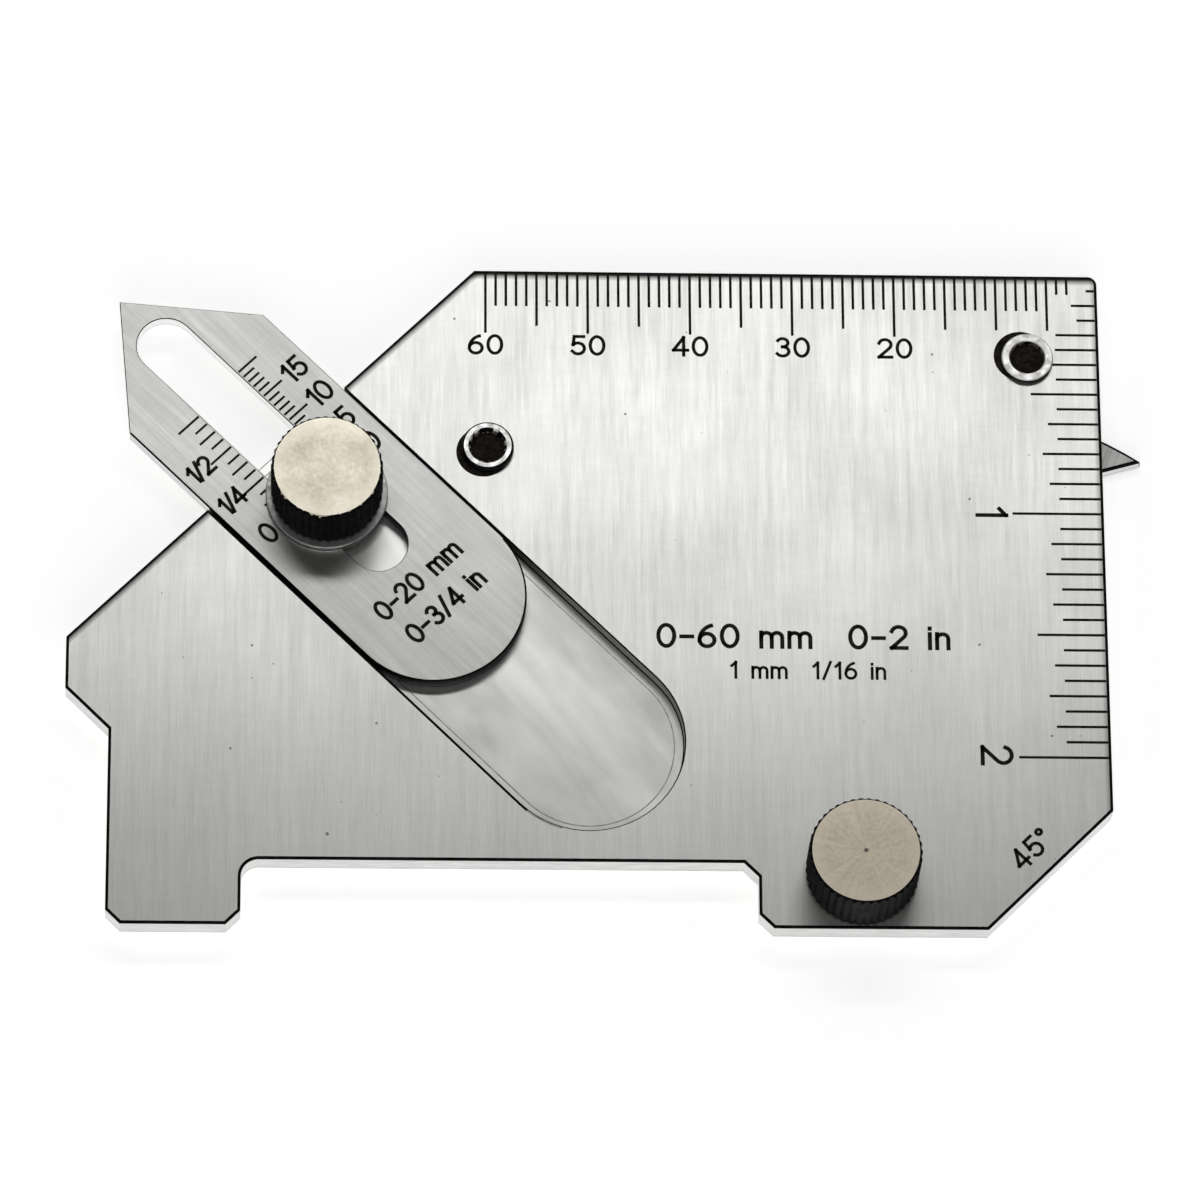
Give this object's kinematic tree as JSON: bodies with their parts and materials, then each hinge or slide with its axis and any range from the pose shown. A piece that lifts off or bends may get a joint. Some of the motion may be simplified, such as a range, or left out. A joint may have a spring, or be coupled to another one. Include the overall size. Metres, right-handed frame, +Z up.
{
  "type": "weld gauge",
  "caption": "Flat steel weld gauge with a slotted 45 degree throat slide in a channel, a pivoted pointed segment under a guide arc, and knurled clamp knobs.",
  "frame": {"origin": "centre of the gauge's box in plan, on the surface that its front lies on", "axes": "+X along the length from the left tip to the finger, +Y from the feet to the top edge, +Z up through the thickness, out of the back face"},
  "size_m": [0.1044, 0.0684, 0.011],
  "materials": {
    "body_steel": "fine upright brushed grain",
    "slide_steel": "fine grain along the slide",
    "segment_steel": "satin ground",
    "stud_steel": "turned",
    "washer_steel": "plain turned",
    "knob_black": "blackened knurl with a pale faced top",
    "rivet_steel": "bright rolled rim"
  },
  "bodies": {
    "body": {"body_plate": "body_steel", "guide_arc": "segment_steel", "guide_rivet_left": "rivet_steel", "guide_rivet_right": "rivet_steel", "slide_stud": "stud_steel", "slide_washer": "washer_steel"},
    "slide": {"throat_slide": "slide_steel"},
    "segment": {"finger_segment": "segment_steel", "pivot_stud": "stud_steel"},
    "slide_clamp": {"slide_knob": "knob_black"},
    "pivot_clamp": {"pivot_knob": "knob_black"}
  },
  "joints": [
    {"name": "slide_travel", "type": "slide", "parent": "body", "child": "slide", "axis": [-0.7071, 0.7071, 0], "range_m": [-0.0208, 0.007]},
    {"name": "segment_swing", "type": "hinge", "parent": "body", "child": "segment", "pos_m": [0.02385, -0.0286, 0], "axis": [0, 0, 1], "range_deg": [-72, 10]},
    {"name": "slide_knob_turn", "type": "hinge", "parent": "body", "child": "slide_clamp", "pos_m": [-0.0273, 0.01005, 0.0048], "axis": [0, 0, 1], "range_deg": [0, 360]},
    {"name": "pivot_knob_turn", "type": "hinge", "parent": "segment", "child": "pivot_clamp", "pos_m": [0.02385, -0.0286, 0.004], "axis": [0, 0, 1], "range_deg": [0, 360]}
  ]
}
